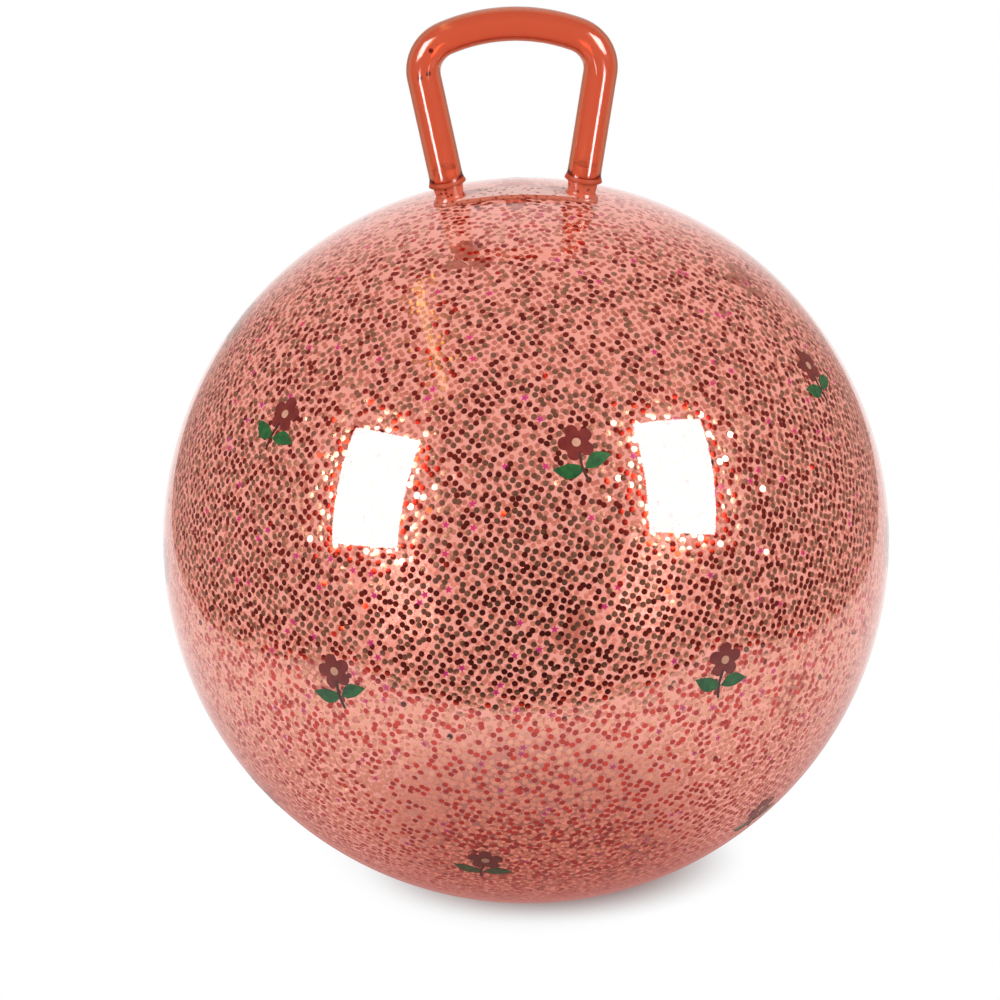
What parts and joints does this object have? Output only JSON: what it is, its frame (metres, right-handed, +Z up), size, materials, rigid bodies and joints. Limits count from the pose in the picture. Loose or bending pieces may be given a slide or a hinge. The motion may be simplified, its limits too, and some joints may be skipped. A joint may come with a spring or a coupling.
{
  "type": "hopper ball",
  "caption": "Inflated hopper ball of tinted clear vinyl with foil glitter inside, a soft D-shaped carrying loop on the crown and a bung valve behind it.",
  "frame": {"origin": "on the floor, at the middle of the flat patch on which the ball settles", "axes": "+Z up through the crown, +X along the loop's grip bar, +Y to the back, where the valve is"},
  "size_m": [0.4498, 0.45, 0.5642],
  "materials": {
    "skin": "gloss",
    "handle": "gloss",
    "valve": "satin",
    "plug": "satin",
    "red_foil": "polished",
    "silver_foil": "polished",
    "pink_foil": "polished"
  },
  "bodies": {
    "ball": {"ball_skin": "skin", "handle_saddle": "handle", "left_neck": "handle", "right_neck": "handle", "valve_seat": "valve", "red_glitter": "red_foil", "silver_glitter": "silver_foil", "star_glitter": "pink_foil"},
    "handle": {"handle_loop": "handle"},
    "plug": {"valve_plug": "plug"}
  },
  "joints": [
    {"name": "handle_flex", "type": "hinge", "parent": "ball", "child": "handle", "pos_m": [0, 0, 0.45178], "axis": [1, 0, 0], "range_deg": [-30, 30], "stiffness_Nm_per_rad": 2.5, "deforming": ["left_neck", "right_neck"]},
    {"name": "plug_pull", "type": "slide", "parent": "ball", "child": "plug", "axis": [0, 0.4695, 0.8829], "range_m": [0, 0.025]}
  ]
}
